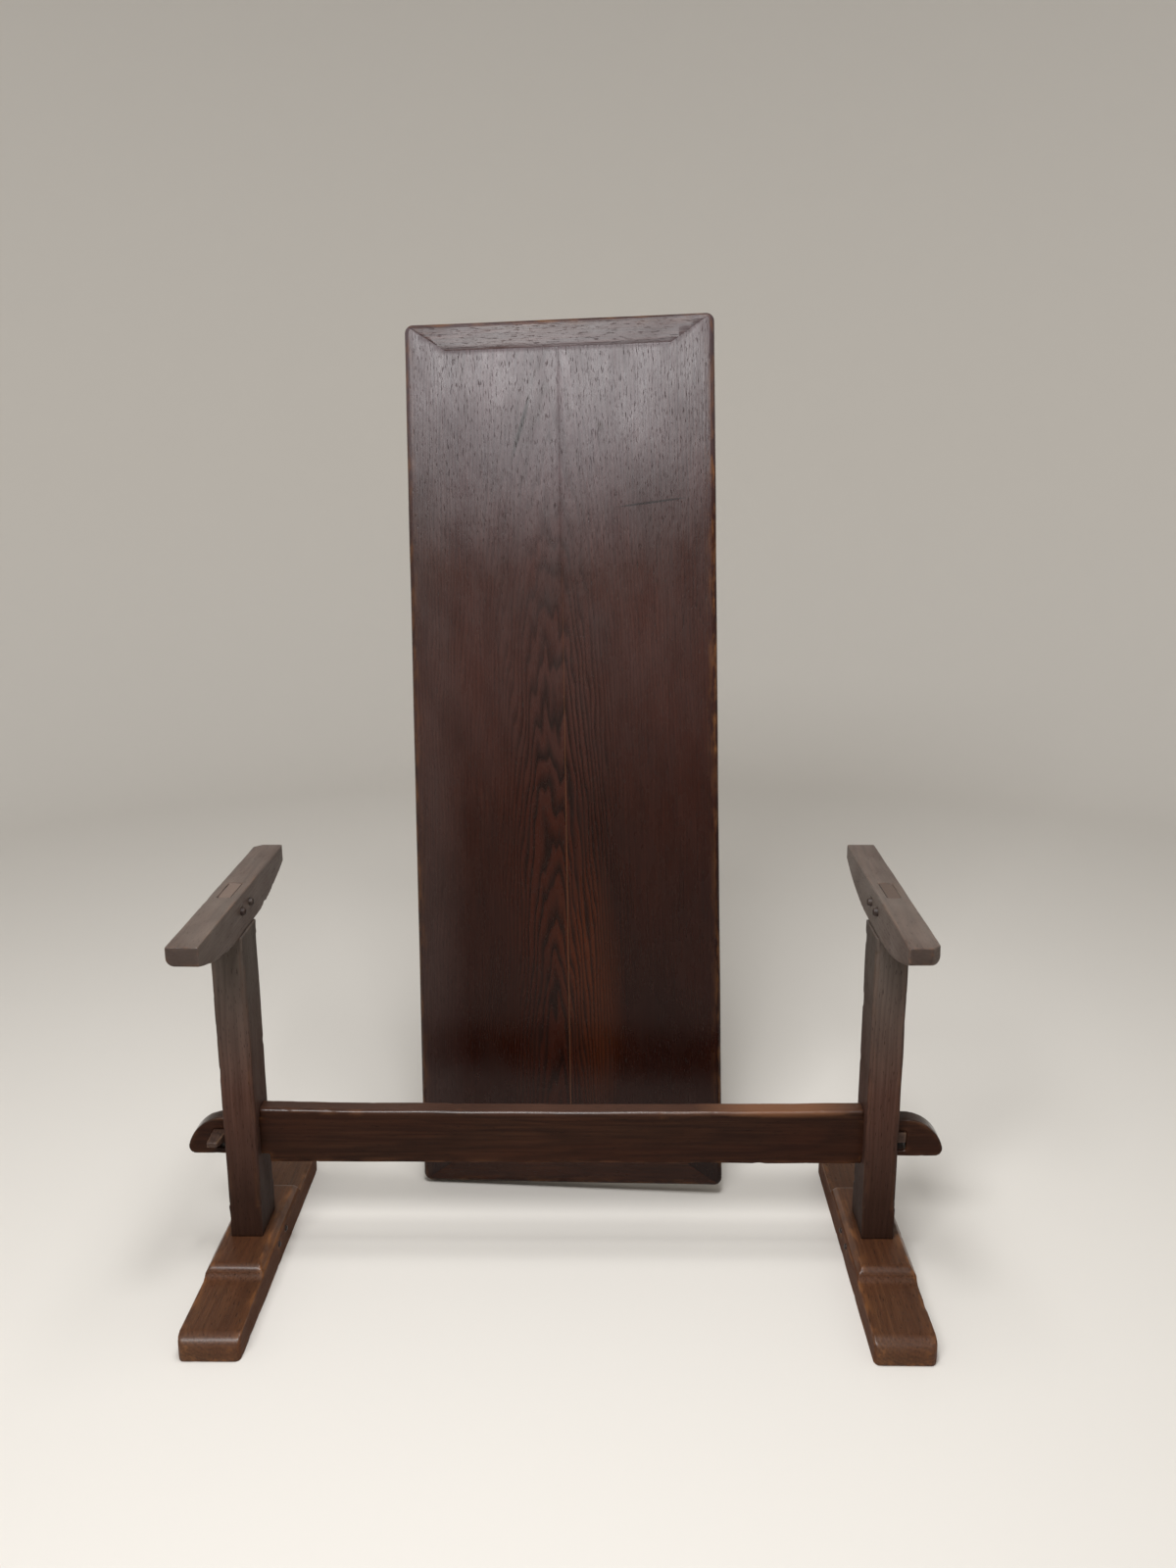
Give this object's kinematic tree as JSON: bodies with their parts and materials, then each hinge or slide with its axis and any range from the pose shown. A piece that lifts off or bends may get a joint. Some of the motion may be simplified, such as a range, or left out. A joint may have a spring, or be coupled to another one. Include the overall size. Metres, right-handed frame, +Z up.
{
  "type": "tavern table",
  "caption": "Knock-down trestle table in dark waxed oak: sledge-footed trestles joined by a keyed stretcher, with its loose clamped top standing on end behind the base.",
  "frame": {"origin": "on the floor, under the middle of the box round base and standing top", "axes": "+Z up, +X along the stretcher to the right as seen from the front, -Y to the front, where the base stands"},
  "size_m": [1.3626, 0.894, 1.7081],
  "materials": {
    "top_oak": "waxed",
    "trestle_oak": "waxed",
    "key_oak": "waxed",
    "peg_oak": "waxed"
  },
  "bodies": {
    "base": {"left_foot": "trestle_oak", "left_post": "trestle_oak", "left_bearer": "trestle_oak", "left_foot_pegs": "peg_oak", "left_bearer_pegs": "peg_oak", "right_foot": "trestle_oak", "right_post": "trestle_oak", "right_bearer": "trestle_oak", "right_foot_pegs": "peg_oak", "right_bearer_pegs": "peg_oak", "stretcher": "trestle_oak"},
    "left_key": {"left_key": "key_oak"},
    "right_key": {"right_key": "key_oak"},
    "carry_dowel": {"end_dowel": "peg_oak"},
    "top": {"left_board": "top_oak", "right_board": "top_oak", "lower_clamp": "top_oak", "upper_clamp": "top_oak", "board_dowels": "peg_oak"}
  },
  "joints": [
    {"name": "left_key_draw", "type": "slide", "parent": "base", "child": "left_key", "axis": [0, -1, 0], "range_m": [0, 0.11]},
    {"name": "right_key_draw", "type": "slide", "parent": "base", "child": "right_key", "axis": [0, 1, 0], "range_m": [0, 0.11]},
    {"name": "top_carry", "type": "hinge", "parent": "base", "child": "carry_dowel", "pos_m": [-0.29925, 0.15177, 0.58788], "axis": [0.6017, -0.6619, 0.447], "range_deg": [0, 229.78]},
    {"name": "top_turn", "type": "hinge", "parent": "carry_dowel", "child": "top", "pos_m": [0.00393, 0.12906, 0.14618], "axis": [-0.9968, 0.0752, -0.0275], "range_deg": [0, 331.32]}
  ],
  "couplings": [
    {"joint": "top_turn", "follows": "top_carry", "ratio": 1.4419}
  ]
}
